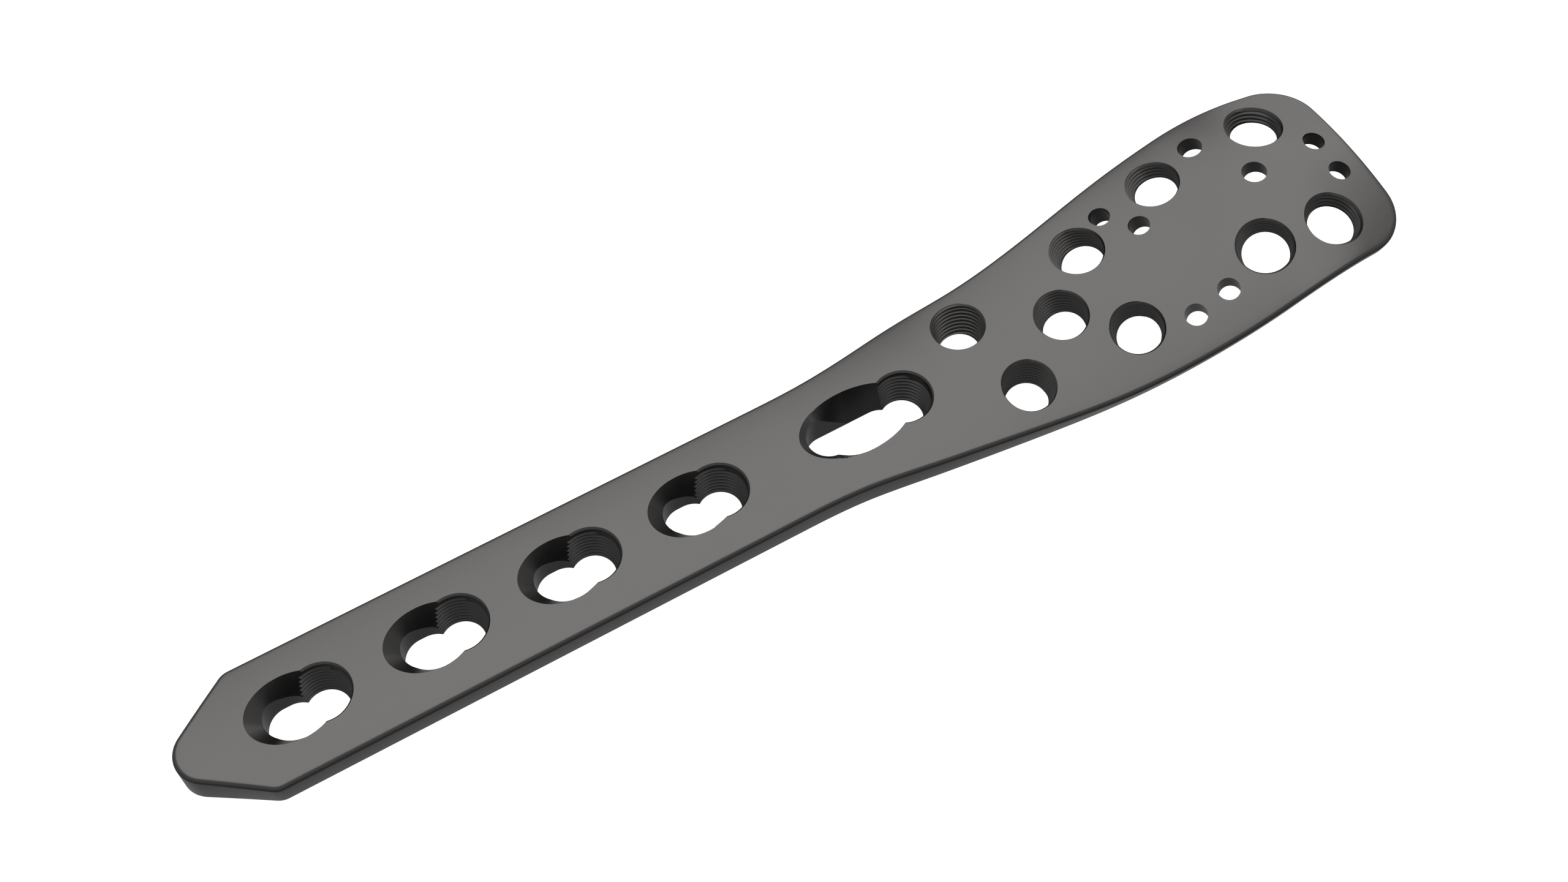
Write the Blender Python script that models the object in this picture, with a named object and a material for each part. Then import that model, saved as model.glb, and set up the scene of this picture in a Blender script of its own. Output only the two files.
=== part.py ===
"""Anatomical bone plate: a narrow shaft with combination holes and a wide, bent and twisted head.

One machined piece of titanium. It lies on its flat underside, +X from the pointed tip to the head,
+Y to the far side and +Z up. The origin is on the plane of the underside, in the middle of the
land between the last combination hole and the long one. Sizes are in millimetres, and stations
along the plate are counted from the threaded cone of the first hole, or from the first bend.
"""

import math

import bmesh
import bpy
import numpy as np
from mathutils import Matrix, Vector

METRES = 0.001

# Shaft
SHAFT_WIDTH = 12.8
SHAFT_THICKNESS = 3.9
CROWN_RADIUS = 38.0
TOP_EDGE_RADIUS = 0.5
UNDER_EDGE_RADIUS = 0.25

# Pointed tip: where its slanted edges leave the sides, their angle and the roundings
TIP_LENGTH = 6.7
TIP_HALF_ANGLE = math.radians(36.0)
TIP_NOSE_RADIUS = 3.0
TIP_CORNER_RADIUS = 1.8

# Combination holes: a threaded cone and, towards the tip, a slot under an inclined countersink. The
# countersink meets the slot's wall along a seat, level at first from the tip and then sloping down.
HOLE_PITCH = 13.0
COMBINATION_COUNT = 4
CHAMFER = 0.15
THREAD_MOUTH_RADIUS = 2.75
THREAD_EXIT_RADIUS = 2.04
SINK_OFFSET = 2.70
SINK_HALF_LENGTH = 4.18
SINK_HALF_WIDTH = 3.20
SLOT_OFFSET = 3.00
SLOT_HALF_TRAVEL = 0.30
SLOT_RADIUS = 2.17
SEAT_DEPTH = 1.2
SEAT_LEVEL = 0.6
SEAT_SLOPE = 0.45

# Long combination hole, next to the head
LONG_HOLE_GAP = 19.5
LONG_SINK_OFFSET = 5.06
LONG_SINK_HALF_LENGTH = 5.68
LONG_SINK_HALF_WIDTH = 3.40
LONG_SLOT_OFFSET = 5.11
LONG_SLOT_HALF_TRAVEL = 2.81
LONG_SLOT_RADIUS = 2.13
LONG_SEAT_DEPTH = 0.5
LONG_SEAT_LEVEL = 1.9
LONG_SEAT_SLOPE = 0.96

# Head: how far each side stands out past the shaft's, at stations from the first bend
BEND_GAP = 3.0
FLARE_START = -16.5
FAR_FLARE = ((-10.5, 0.12), (-4.5, 0.78), (1.5, 1.58), (7.5, 1.80), (16.5, 2.81), (25.5, 4.31),
             (33.0, 4.86), (43.5, 4.26))
NEAR_FLARE = ((-10.5, 0.23), (-4.5, 1.08), (1.5, 1.95), (7.5, 2.75), (16.5, 3.86), (25.5, 4.59),
              (33.0, 4.78), (43.5, 4.23))
HEAD_CORNER_RADIUS = 4.8

# Bends: the head rises in a long arc, comes over a tight one and ends in a long one
RISE_LENGTH = 32.5
RISE_RADIUS = 125.0
CREST_LENGTH = 9.5
CREST_RADIUS = 26.0
END_RADIUS = 150.0
TWIST_SLOPES = ((13.5, 0.085), (30.5, 0.06), (47.5, 0.03))
HEAD_THINNING = ((7.5, 0.25), (14.0, 0.65), (19.5, 1.05), (29.0, 1.80), (34.0, 1.95), (41.0, 2.25),
                 (47.5, 2.40))
HOLLOW_LENGTH = 20.0

# Locking holes: station from the first bend, distance from the centre plane, and the lean of the
# axis from the surface's normal, along the plate and across it. The end land runs from the last
# of them to the end of the head.
HEAD_HOLES = (
    (5.54, 3.96, 0.11, 0.11),
    (7.76, -4.86, -0.01, 0.10),
    (19.54, -5.19, -0.14, 0.09),
    (14.24, -0.34, -0.10, 0.14),
    (19.25, 4.62, -0.20, 0.06),
    (29.10, 6.57, -0.14, -0.01),
)
HEAD_CHAMFER = 0.15
HEAD_MOUTH_RADIUS = 2.48
HEAD_EXIT_RADIUS = 2.05
END_HOLES = (
    (40.68, 6.47, -0.24, 0.02),
    (33.54, -5.26, -0.08, 0.14),
    (40.70, -6.21, -0.18, 0.14),
)
END_CHAMFER = 0.15
END_MOUTH_RADIUS = 2.65
END_EXIT_RADIUS = 2.22
END_LAND = 6.90

# Wire holes: the same four values, then the radius
WIRE_HOLES = (
    (34.21, 7.81, -0.18, 0.02, 1.18),
    (23.08, 6.57, -0.18, 0.04, 1.04),
    (25.44, 3.45, -0.18, 0.05, 1.04),
    (37.20, 1.71, -0.19, 0.05, 1.19),
    (44.57, 2.04, -0.03, 0.05, 1.08),
    (44.56, -2.03, -0.03, 0.05, 1.08),
    (28.59, -6.72, -0.08, 0.16, 1.08),
    (24.79, -7.05, -0.13, 0.14, 1.08),
)

# Fineness of the mesh
SHAFT_STEPS = 8
FLARE_STEPS = 30
CORNER_STEPS = 4
END_STEPS = 6
FILLET_STEPS = 3
UNDER_FILLET_STEPS = 2
THREAD_SIDES = 36
SLOT_ARC_STEPS = 24
SLOT_STEP = 0.6
WIRE_SIDES = 18
CUT_MARGIN = 1.5
SEAT_OVERRUN = 0.02
SLOPE_STEP = 0.01
SETTLING_ROUNDS = 12
BORDER_FADE = 12

TITANIUM_COLOUR = (0.145, 0.142, 0.137, 1.0)
TITANIUM_ROUGHNESS = 0.42
TITANIUM_METALLIC = 0.85

# Places that follow from the sizes
HALF_WIDTH = SHAFT_WIDTH / 2
LAST_HOLE_X = (COMBINATION_COUNT - 1) * HOLE_PITCH
LONG_HOLE_X = LAST_HOLE_X + LONG_HOLE_GAP
BEND_X = LONG_HOLE_X + BEND_GAP
CREST_X = BEND_X + RISE_LENGTH
CREST_END_X = CREST_X + CREST_LENGTH
HEAD_END_X = BEND_X + max(hole[0] for hole in END_HOLES) + END_LAND
LAND_START_X = LAST_HOLE_X + THREAD_EXIT_RADIUS
LAND_END_X = LONG_HOLE_X - LONG_SLOT_OFFSET - LONG_SLOT_HALF_TRAVEL - LONG_SLOT_RADIUS
ORIGIN_X = (LAND_START_X + LAND_END_X) / 2


class SmoothLine:
    """A cubic spline through a few stations, level before its first one."""

    def __init__(self, stations):
        self.x = np.array([station[0] for station in stations], dtype=float)
        self.y = np.array([station[1] for station in stations], dtype=float)
        count = len(self.x)
        gap = np.diff(self.x)
        slope = np.diff(self.y) / gap
        matrix = np.zeros((count, count))
        right = np.zeros(count)
        matrix[0, 0] = 2 * gap[0]
        matrix[0, 1] = gap[0]
        right[0] = 6 * slope[0]
        for i in range(1, count - 1):
            matrix[i, i - 1] = gap[i - 1]
            matrix[i, i] = 2 * (gap[i - 1] + gap[i])
            matrix[i, i + 1] = gap[i]
            right[i] = 6 * (slope[i] - slope[i - 1])
        matrix[-1, -1] = 1.0
        self.bend = np.linalg.solve(matrix, right)

    def __call__(self, x):
        x = np.clip(np.asarray(x, dtype=float), self.x[0], None)
        i = np.clip(np.searchsorted(self.x, x, side="right") - 1, 0, len(self.x) - 2)
        gap = self.x[i + 1] - self.x[i]
        after = x - self.x[i]
        before = self.x[i + 1] - x
        inside = (self.bend[i] * before ** 3 + self.bend[i + 1] * after ** 3) / (6 * gap)
        inside = inside + (self.y[i] / gap - self.bend[i] * gap / 6) * before
        inside = inside + (self.y[i + 1] / gap - self.bend[i + 1] * gap / 6) * after
        end_gap = self.x[-1] - self.x[-2]
        end_slope = (self.y[-1] - self.y[-2]) / end_gap + self.bend[-2] * end_gap / 6
        past_end = self.y[-1] + end_slope * (x - self.x[-1])
        return np.where(x > self.x[-1], past_end, inside)


def stations_from_bend(start, first, stations):
    """Stations counted from the first bend, as stations along the plate."""
    return [(BEND_X + start, first)] + [(BEND_X + x, value) for x, value in stations]


SIDES = {
    1: SmoothLine(stations_from_bend(FLARE_START, 0.0, FAR_FLARE)),
    -1: SmoothLine(stations_from_bend(FLARE_START, 0.0, NEAR_FLARE)),
}
TWIST = SmoothLine(stations_from_bend(0.0, 0.0, TWIST_SLOPES))
THINNING = SmoothLine(stations_from_bend(0.0, 0.0, HEAD_THINNING))


def rise(x):
    """Height of the centre line over the shaft's: three arcs, each tangent to the one before."""
    first = np.clip(x - BEND_X, 0, RISE_LENGTH)
    second = np.clip(x - CREST_X, 0, CREST_LENGTH)
    third = np.clip(x - CREST_END_X, 0, None)
    rise_slope = RISE_LENGTH / RISE_RADIUS
    end_slope = rise_slope - CREST_LENGTH / CREST_RADIUS
    height = first ** 2 / (2 * RISE_RADIUS)
    height = height + rise_slope * second - second ** 2 / (2 * CREST_RADIUS)
    return height + end_slope * third - third ** 2 / (2 * END_RADIUS)


def top_height(x, y):
    """Height of the crowned, bent and twisted top."""
    return SHAFT_THICKNESS + rise(x) + TWIST(x) * y - y ** 2 / (2 * CROWN_RADIUS)


def under_height(x, y):
    """Height of the underside: flat on the shaft, hollowed like the top under the head."""
    share = np.clip((x - BEND_X) / HOLLOW_LENGTH, 0, 1)
    hollow = share ** 2 * (3 - 2 * share)
    return rise(x) + TWIST(x) * y + THINNING(x) - hollow * y ** 2 / (2 * CROWN_RADIUS)


def top_normal(x, y):
    """Unit normal of the top, from small steps along and across the plate."""
    along = (top_height(x + SLOPE_STEP, y) - top_height(x - SLOPE_STEP, y)) / (2 * SLOPE_STEP)
    across = (top_height(x, y + SLOPE_STEP) - top_height(x, y - SLOPE_STEP)) / (2 * SLOPE_STEP)
    return Vector((-float(along), -float(across), 1.0)).normalized()


def half_width(x, side):
    """Distance of one side from the centre plane."""
    return HALF_WIDTH + float(SIDES[side](x))


def arc(centre, radius, start, end, steps):
    """Points of an arc in plan, each with its outward direction."""
    points = []
    for i in range(steps + 1):
        angle = start + (end - start) * i / steps
        outward = (math.cos(angle), math.sin(angle))
        points.append((centre[0] + radius * outward[0], centre[1] + radius * outward[1], outward))
    return points


def nose_centre():
    """Centre of the tip's rounding, where both slanted edges would meet it."""
    apex = -TIP_LENGTH - HALF_WIDTH / math.tan(TIP_HALF_ANGLE)
    return (apex + TIP_NOSE_RADIUS / math.sin(TIP_HALF_ANGLE), 0.0)


def head_corner(side):
    """Centre of a rounded corner of the head and the angle where the side runs into it."""
    x = HEAD_END_X - HEAD_CORNER_RADIUS
    for _ in range(SETTLING_ROUNDS):
        slope = (half_width(x + SLOPE_STEP, side) - half_width(x - SLOPE_STEP, side)) / (2 * SLOPE_STEP)
        angle = math.atan(slope)
        x = HEAD_END_X - HEAD_CORNER_RADIUS * (1 + math.sin(angle))
    centre_y = half_width(x, side) - HEAD_CORNER_RADIUS * math.cos(angle)
    return x, (HEAD_END_X - HEAD_CORNER_RADIUS, centre_y), math.pi / 2 + angle


def mirrored(points, side):
    """Points of the far side, or their mirror image for the near side."""
    return [(x, side * y, (nx, side * ny)) for x, y, (nx, ny) in points]


def side_outline(side):
    """One long side in plan, from the rounding of the nose to the middle of the head's corner."""
    lean = math.pi / 2 + TIP_HALF_ANGLE
    points = arc(nose_centre(), TIP_NOSE_RADIUS, lean, lean, 1)[:1]
    tangent = TIP_CORNER_RADIUS * math.tan(TIP_HALF_ANGLE / 2)
    corner_x = -TIP_LENGTH + tangent
    points += arc((corner_x, HALF_WIDTH - TIP_CORNER_RADIUS), TIP_CORNER_RADIUS, lean, math.pi / 2,
                  CORNER_STEPS)
    flare_x = BEND_X + FLARE_START
    for i in range(1, SHAFT_STEPS):
        points.append((corner_x + (flare_x - corner_x) * i / SHAFT_STEPS, HALF_WIDTH, (0.0, 1.0)))
    end_x, corner, end_angle = head_corner(side)
    for i in range(FLARE_STEPS):
        x = flare_x + (end_x - flare_x) * i / FLARE_STEPS
        slope = (half_width(x + SLOPE_STEP, side) - half_width(x - SLOPE_STEP, side)) / (2 * SLOPE_STEP)
        length = math.hypot(slope, 1.0)
        points.append((x, half_width(x, side), (-slope / length, 1 / length)))
    points += arc(corner, HEAD_CORNER_RADIUS, end_angle, end_angle / 2, CORNER_STEPS)
    return mirrored(points, side)


def tip_outline():
    """The rounding of the nose, from the near side to the far one."""
    lean = math.pi / 2 + TIP_HALF_ANGLE
    steps = 2 * CORNER_STEPS + END_STEPS
    return arc(nose_centre(), TIP_NOSE_RADIUS, 2 * math.pi - lean, lean, steps)


def head_outline():
    """The end of the head, from the middle of the near corner to the middle of the far one."""
    halves = []
    for side in (-1, 1):
        _, corner, end_angle = head_corner(side)
        half = arc(corner, HEAD_CORNER_RADIUS, end_angle / 2, 0.0, CORNER_STEPS)
        halves.append(mirrored(half, side))
    near, far = halves
    straight = []
    for i in range(1, END_STEPS):
        y = near[-1][1] + (far[-1][1] - near[-1][1]) * i / END_STEPS
        straight.append((HEAD_END_X, y, (1.0, 0.0)))
    return near + straight + far[::-1]


def edge_section(point):
    """The plate's edge over one outline point: top rounding, square wall, underside rounding."""
    x, y, (nx, ny) = point
    edge = Vector((x, y, float(top_height(x, y))))
    normal = top_normal(x, y)
    inward = Vector((-nx, -ny, 0.0))
    inward = (inward - normal * inward.dot(normal)).normalized()
    wall = SHAFT_THICKNESS
    for _ in range(SETTLING_ROUNDS):
        foot = edge - normal * wall
        wall += (foot.z - float(under_height(foot.x, foot.y))) / normal.z
    foot = edge - normal * wall
    section = []
    centre = edge + (inward - normal) * TOP_EDGE_RADIUS
    for i in range(FILLET_STEPS + 1):
        angle = math.pi / 2 * i / FILLET_STEPS
        section.append(centre + (normal * math.cos(angle) - inward * math.sin(angle)) * TOP_EDGE_RADIUS)
    centre = foot + (inward + normal) * UNDER_EDGE_RADIUS
    for i in range(UNDER_FILLET_STEPS + 1):
        angle = math.pi / 2 * i / UNDER_FILLET_STEPS
        section.append(centre - (inward * math.cos(angle) + normal * math.sin(angle)) * UNDER_EDGE_RADIUS)
    section[0].z = float(top_height(section[0].x, section[0].y))
    section[-1].z = float(under_height(section[-1].x, section[-1].y))
    return section


def face_grid(mesh, near, far, tip, head, height):
    """Vertices of the top or the underside, blended in plan between its four borders."""
    rows = len(near) - 1
    columns = len(tip) - 1
    grid = [[None] * (columns + 1) for _ in range(rows + 1)]
    for j in range(rows + 1):
        grid[j][0] = near[j]
        grid[j][columns] = far[j]
    for i in range(1, columns):
        grid[0][i] = tip[i]
        grid[rows][i] = head[i]
    for j in range(1, rows):
        tip_pull = (1 - j / rows) ** BORDER_FADE
        head_pull = (j / rows) ** BORDER_FADE
        for i in range(1, columns):
            across = i / columns
            place = near[j].co.lerp(far[j].co, across)
            place = place + (tip[i].co - tip[0].co.lerp(tip[-1].co, across)) * tip_pull
            place = place + (head[i].co - head[0].co.lerp(head[-1].co, across)) * head_pull
            place.z = float(height(place.x, place.y))
            grid[j][i] = mesh.verts.new(place)
    return grid


def skin_grid(mesh, grid):
    """Quads over a grid of vertices."""
    for lower, upper in zip(grid, grid[1:]):
        for i in range(len(lower) - 1):
            mesh.faces.new((lower[i], upper[i], upper[i + 1], lower[i + 1]))


def plate_body():
    """The plate without its holes, as one closed mesh."""
    near = side_outline(-1)
    far = side_outline(1)
    tip = tip_outline()
    head = head_outline()
    loop = near + head[1:-1] + far[::-1] + tip[1:-1][::-1]
    near_count = len(near)
    far_start = near_count + len(head) - 2
    tip_start = far_start + len(far)
    mesh = bmesh.new()
    sections = [[mesh.verts.new(place) for place in edge_section(point)] for point in loop]
    for section, following in zip(sections, sections[1:] + sections[:1]):
        for i in range(len(section) - 1):
            mesh.faces.new((section[i], following[i], following[i + 1], section[i + 1]))
    for level, height in ((0, top_height), (-1, under_height)):
        ring = [section[level] for section in sections]
        near_side = ring[:near_count]
        far_side = ring[far_start:tip_start][::-1]
        head_side = [near_side[-1]] + ring[near_count:far_start] + [far_side[-1]]
        tip_side = [near_side[0]] + ring[tip_start:][::-1] + [far_side[0]]
        skin_grid(mesh, face_grid(mesh, near_side, far_side, tip_side, head_side, height))
    bmesh.ops.recalc_face_normals(mesh, faces=mesh.faces)
    bmesh.ops.triangulate(mesh, faces=mesh.faces)
    return mesh


def new_object(name, mesh, parent):
    """An object from a bmesh in millimetres, under the plate's frame."""
    bmesh.ops.scale(mesh, vec=(METRES, METRES, METRES), verts=mesh.verts)
    data = bpy.data.meshes.new(name)
    mesh.to_mesh(data)
    mesh.free()
    data.shade_smooth()
    data.set_sharp_from_angle(angle=math.radians(35.0))
    thing = bpy.data.objects.new(name, data)
    thing.parent = parent
    bpy.context.scene.collection.objects.link(thing)
    return thing


def ring_solid(rings):
    """A closed solid through rings with the same number of points, from top to bottom."""
    mesh = bmesh.new()
    loops = [[mesh.verts.new(place) for place in ring] for ring in rings]
    mesh.faces.new(loops[0])
    mesh.faces.new(loops[-1])
    count = len(loops[0])
    for upper, lower in zip(loops, loops[1:]):
        for i in range(count):
            mesh.faces.new((upper[i], upper[i - 1], lower[i - 1], lower[i]))
    bmesh.ops.recalc_face_normals(mesh, faces=mesh.faces)
    return mesh


def turned_solid(profile, sides, place):
    """A solid turned about an axis, from pairs of radius and height, top first."""
    rings = []
    for radius, height in profile:
        ring = []
        for i in range(sides):
            angle = 2 * math.pi * (i + 0.5) / sides
            ring.append(place @ Vector((radius * math.cos(angle), radius * math.sin(angle), height)))
        rings.append(ring)
    return ring_solid(rings)


def hole_frame(x, y, lean_along, lean_across):
    """Frame of a hole: origin on the top, Z out of the hole, leaning from the surface's normal."""
    normal = top_normal(x, y)
    along = Vector((1.0, 0.0, 0.0))
    along = (along - normal * along.dot(normal)).normalized()
    across = normal.cross(along)
    axis = (normal + along * lean_along + across * lean_across).normalized()
    turn = axis.to_track_quat("Z", "Y").to_matrix().to_4x4()
    return Matrix.Translation((x, y, float(top_height(x, y)))) @ turn


def cone_profile(mouth, exit_radius, chamfer, depth):
    """A narrowing bore from below its chamfer, run on past both faces of the plate."""
    narrowing = (mouth - exit_radius) / (depth - chamfer)
    return (
        (mouth, CUT_MARGIN),
        (mouth, -chamfer),
        (exit_radius - narrowing * CUT_MARGIN, -depth - CUT_MARGIN),
    )


def chamfer_solid(mouth, chamfer, place):
    """The chamfer round a bore: in at 45 degrees from a rim that follows the top."""
    turn = place.to_3x3()
    axis = turn @ Vector((0.0, 0.0, 1.0))
    upper, lower = [], []
    for i in range(THREAD_SIDES):
        angle = 2 * math.pi * (i + 0.5) / THREAD_SIDES
        outward = turn @ Vector((math.cos(angle), math.sin(angle), 0.0))
        rim = place.translation + outward * (mouth + chamfer)
        for _ in range(SETTLING_ROUNDS):
            rim += axis * ((float(top_height(rim.x, rim.y)) - rim.z) / axis.z)
        upper.append(rim + (outward + axis) * CUT_MARGIN)
        lower.append(rim - (outward + axis) * chamfer * 2)
    return ring_solid((upper, lower))


def slot_spine(x, half_travel):
    """Places on a slot's middle line, each with the angle of a ray to the wall, once round the slot."""
    side_steps = math.ceil(2 * half_travel / SLOT_STEP)
    rays = []
    for end, start in ((half_travel, -math.pi / 2), (-half_travel, math.pi / 2)):
        for i in range(SLOT_ARC_STEPS + 1):
            rays.append((x + end, start + math.pi * i / SLOT_ARC_STEPS))
        for i in range(1, side_steps):
            rays.append((x + end - 2 * end * i / side_steps, start + math.pi))
    return rays


def ellipse_reach(offset, angle, half_length, half_breadth):
    """Length of a ray to an ellipse, from a place on its long axis at some offset from the centre."""
    along = math.cos(angle) / half_length
    across = math.sin(angle) / half_breadth
    start = offset / half_length
    square = along ** 2 + across ** 2
    return (math.sqrt((start * along) ** 2 - square * (start ** 2 - 1)) - start * along) / square


def sink_solid(sink, slot, seat):
    """The countersink and its slot: from the rim in the top down to the seat, then straight down."""
    sink_x, half_length, half_breadth = sink
    slot_x, half_travel, radius = slot
    seat_depth, seat_level, seat_slope = seat
    slope_start = slot_x - half_travel - radius + seat_level
    deepest = SHAFT_THICKNESS + SEAT_OVERRUN
    upper, middle, lower = [], [], []
    for x, angle in slot_spine(slot_x, half_travel):
        ray = Vector((math.cos(angle), math.sin(angle), 0.0))
        reach = ellipse_reach(x - sink_x, angle, half_length, half_breadth)
        wall = Vector((x, 0.0, 0.0)) + ray * radius
        rim = Vector((x, 0.0, 0.0)) + ray * reach
        rim.z = float(top_height(rim.x, rim.y))
        depth = min(seat_depth + seat_slope * max(wall.x - slope_start, 0.0), deepest)
        wall.z = SHAFT_THICKNESS - depth
        upper.append(rim + (rim - wall) * (CUT_MARGIN / (rim.z - wall.z)))
        middle.append(wall)
        lower.append(Vector((wall.x, wall.y, -2 * CUT_MARGIN)))
    return ring_solid((upper, middle, lower))


def locking_bore(hole, mouth, exit_radius, chamfer):
    """The two solids of a locking hole: its narrowing bore, and the chamfer round it."""
    x, y, lean_along, lean_across = hole
    place = hole_frame(x, y, lean_along, lean_across)
    depth = float(top_height(x, y) - under_height(x, y))
    bore = turned_solid(cone_profile(mouth, exit_radius, chamfer, depth), THREAD_SIDES, place)
    return [bore, chamfer_solid(mouth, chamfer, place)]


def short_slot(x):
    """The slot of a combination hole, with its countersink."""
    sink = (x - SINK_OFFSET, SINK_HALF_LENGTH, SINK_HALF_WIDTH)
    slot = (x - SLOT_OFFSET, SLOT_HALF_TRAVEL, SLOT_RADIUS)
    return sink_solid(sink, slot, (SEAT_DEPTH, SEAT_LEVEL, SEAT_SLOPE))


def long_slot(x):
    """The slot of the long hole, with its countersink."""
    sink = (x - LONG_SINK_OFFSET, LONG_SINK_HALF_LENGTH, LONG_SINK_HALF_WIDTH)
    slot = (x - LONG_SLOT_OFFSET, LONG_SLOT_HALF_TRAVEL, LONG_SLOT_RADIUS)
    return sink_solid(sink, slot, (LONG_SEAT_DEPTH, LONG_SEAT_LEVEL, LONG_SEAT_SLOPE))


def wire_bore(hole):
    """A plain small bore in the head."""
    station, y, lean_along, lean_across, radius = hole
    x = BEND_X + station
    depth = float(top_height(x, y) - under_height(x, y))
    profile = ((radius, CUT_MARGIN), (radius, -depth - CUT_MARGIN))
    return turned_solid(profile, WIRE_SIDES, hole_frame(x, y, lean_along, lean_across))


def hole_solids():
    """Solids of all bores and slots. On the shaft each cone runs into its slot."""
    rows = [i * HOLE_PITCH for i in range(COMBINATION_COUNT)]
    solids = [short_slot(x) for x in rows] + [long_slot(LONG_HOLE_X)]
    solids += [wire_bore(hole) for hole in WIRE_HOLES]
    for x in rows + [LONG_HOLE_X]:
        solids += locking_bore((x, 0.0, 0.0, 0.0), THREAD_MOUTH_RADIUS, THREAD_EXIT_RADIUS, CHAMFER)
    for holes, mouth, exit_radius, chamfer in (
        (HEAD_HOLES, HEAD_MOUTH_RADIUS, HEAD_EXIT_RADIUS, HEAD_CHAMFER),
        (END_HOLES, END_MOUTH_RADIUS, END_EXIT_RADIUS, END_CHAMFER),
    ):
        for station, *rest in holes:
            solids += locking_bore((BEND_X + station, *rest), mouth, exit_radius, chamfer)
    return solids


def cut_holes(plate):
    """Take all bores and slots out with one exact Boolean that also joins the solids that meet."""
    mesh = bmesh.new()
    for solid in hole_solids():
        data = bpy.data.meshes.new("solid")
        solid.to_mesh(data)
        solid.free()
        mesh.from_mesh(data)
        bpy.data.meshes.remove(data)
    cutter = new_object("holes", mesh, plate.parent)
    cutter.hide_render = True
    cutter.display_type = "WIRE"
    boolean = plate.modifiers.new("holes", "BOOLEAN")
    boolean.operation = "DIFFERENCE"
    boolean.solver = "EXACT"
    boolean.use_self = True
    boolean.object = cutter


def titanium():
    """Dark anodised titanium."""
    material = bpy.data.materials.new("titanium")
    material.use_nodes = True
    shader = material.node_tree.nodes["Principled BSDF"]
    shader.inputs["Base Color"].default_value = TITANIUM_COLOUR
    shader.inputs["Roughness"].default_value = TITANIUM_ROUGHNESS
    shader.inputs["Metallic"].default_value = TITANIUM_METALLIC
    return material


def main():
    for thing in list(bpy.data.objects):
        bpy.data.objects.remove(thing, do_unlink=True)
    frame = bpy.data.objects.new("plate_frame", None)
    frame.location = (-ORIGIN_X * METRES, 0.0, 0.0)
    bpy.context.scene.collection.objects.link(frame)
    plate = new_object("bone_plate", plate_body(), frame)
    plate.data.materials.append(titanium())
    cut_holes(plate)


if __name__ == "__main__":
    main()
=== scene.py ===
"""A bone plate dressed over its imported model: cut threads, a fine matte finish and a studio.

Laid out as a Blender add-on and run as a script. Shapes are worked out in millimetres, in the
plate's drawing frame: X from the first threaded cone towards the head, Y across the plate, and Z up
from the shaft's flat underside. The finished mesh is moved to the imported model's frame.
"""

import math

import bmesh
import bpy
import numpy as np
from mathutils import Euler, Matrix, Vector


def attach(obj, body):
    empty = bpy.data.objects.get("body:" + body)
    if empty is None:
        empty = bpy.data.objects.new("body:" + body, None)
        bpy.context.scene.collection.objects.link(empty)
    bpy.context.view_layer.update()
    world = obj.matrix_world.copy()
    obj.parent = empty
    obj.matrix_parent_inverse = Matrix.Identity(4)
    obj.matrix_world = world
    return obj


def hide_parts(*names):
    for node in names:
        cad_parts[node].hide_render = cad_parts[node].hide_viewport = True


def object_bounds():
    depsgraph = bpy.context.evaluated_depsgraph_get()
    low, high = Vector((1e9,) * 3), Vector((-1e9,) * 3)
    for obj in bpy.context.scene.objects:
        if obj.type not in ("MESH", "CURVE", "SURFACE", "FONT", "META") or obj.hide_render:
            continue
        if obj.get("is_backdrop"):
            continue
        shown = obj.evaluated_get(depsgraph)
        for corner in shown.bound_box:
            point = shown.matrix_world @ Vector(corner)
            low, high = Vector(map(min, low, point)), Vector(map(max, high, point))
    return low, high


bl_info = {
    "name": "Bone plate",
    "version": (1, 0, 0),
    "blender": (4, 5, 0),
    "location": "3D View > Sidebar > Bone plate",
    "description": "Makes a contoured bone plate with cut threads, its finish and a studio",
    "category": "Add Mesh",
}

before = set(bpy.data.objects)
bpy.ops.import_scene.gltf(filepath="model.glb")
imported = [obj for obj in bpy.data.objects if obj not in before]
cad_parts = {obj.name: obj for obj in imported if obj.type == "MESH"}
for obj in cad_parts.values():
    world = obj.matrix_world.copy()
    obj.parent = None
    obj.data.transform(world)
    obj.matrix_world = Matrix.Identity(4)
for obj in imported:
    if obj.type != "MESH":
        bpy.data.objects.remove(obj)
CAD_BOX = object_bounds()
METRES = 0.001

# Shaft
SHAFT_WIDTH = 12.8
SHAFT_THICKNESS = 3.9
CROWN_RADIUS = 38.0
TOP_EDGE_RADIUS = 0.5
UNDER_EDGE_RADIUS = 0.25
HALF_WIDTH = SHAFT_WIDTH / 2

# Pointed tip
TIP_LENGTH = 6.7
TIP_HALF_ANGLE = math.radians(36.0)
TIP_NOSE_RADIUS = 3.0
TIP_CORNER_RADIUS = 1.8
# Direction in plan that is square to the far slanted edge
SLANT_TURN = math.pi / 2 + TIP_HALF_ANGLE

# Combination holes. An offset is from the threaded cone back to the middle of the countersink or the
# slot. The countersink's seat is level from the tip's side, then falls with its slope. A slot's
# travel is half the length of its middle line.
HOLE_ROWS = (0.0, 13.0, 26.0, 39.0)
CHAMFER = 0.15
THREAD_MOUTH_RADIUS = 2.75
THREAD_EXIT_RADIUS = 2.04
SHORT_SINK = {"offset": 2.70, "half_length": 4.18, "half_width": 3.20, "depth": 1.2, "level": 0.6,
              "slope": 0.45}
SHORT_SLOT = {"offset": 3.00, "travel": 0.30, "radius": 2.17}
LONG_HOLE_X = 58.5
LONG_SINK = {"offset": 5.06, "half_length": 5.68, "half_width": 3.40, "depth": 0.5, "level": 1.9,
             "slope": 0.96}
LONG_SLOT = {"offset": 5.11, "travel": 2.81, "radius": 2.13}

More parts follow.
